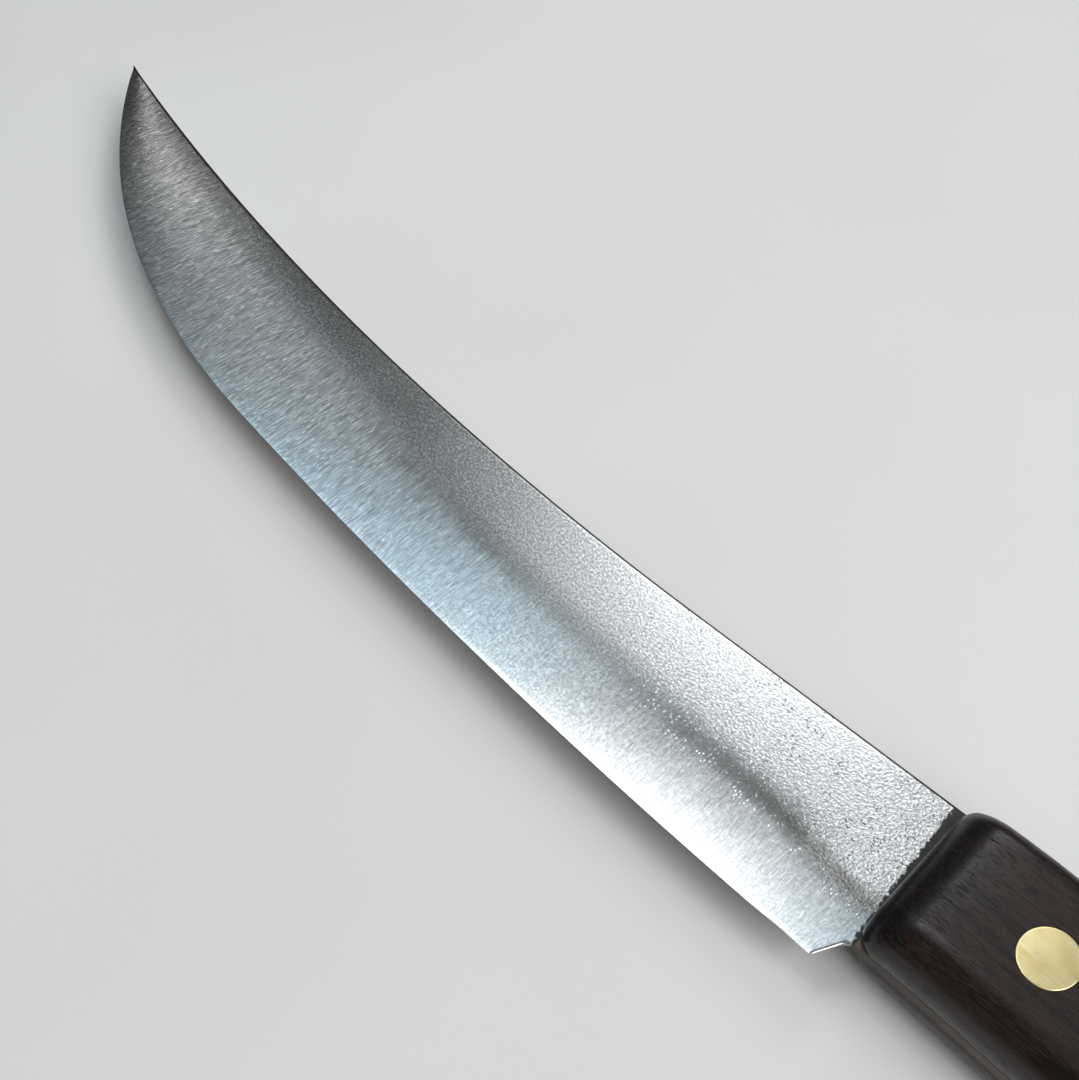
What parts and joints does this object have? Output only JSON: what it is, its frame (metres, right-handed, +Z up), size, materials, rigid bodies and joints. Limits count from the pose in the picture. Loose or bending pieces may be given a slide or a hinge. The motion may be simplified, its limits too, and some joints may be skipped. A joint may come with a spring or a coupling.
{
  "type": "butcher's knife",
  "caption": "Butcher's knife with a broad, upswept, pointed steel blade, a full tang, hardwood scales and brass cutler's rivets.",
  "frame": {"origin": "under the middle of the knife's box, on the surface that the right scale lies on", "axes": "+X along the blade from the butt to the tip, +Y across the blade from the spine to the cutting edge, +Z up through the thickness, from the right scale to the left scale"},
  "size_m": [0.326, 0.0505, 0.0176],
  "materials": {
    "steel": "ground carbon steel, satin, with fine pitting near the handle",
    "hardwood": "dark rosewood, oiled and worn to a soft sheen",
    "brass": "filed flush and satin"
  },
  "bodies": {
    "root": {"blade": "steel", "left_scale": "hardwood", "right_scale": "hardwood", "front_rivet_stud": "brass", "front_rivet_sleeve": "brass", "middle_rivet_stud": "brass", "middle_rivet_sleeve": "brass", "rear_rivet_stud": "brass", "rear_rivet_sleeve": "brass"}
  },
  "joints": []
}
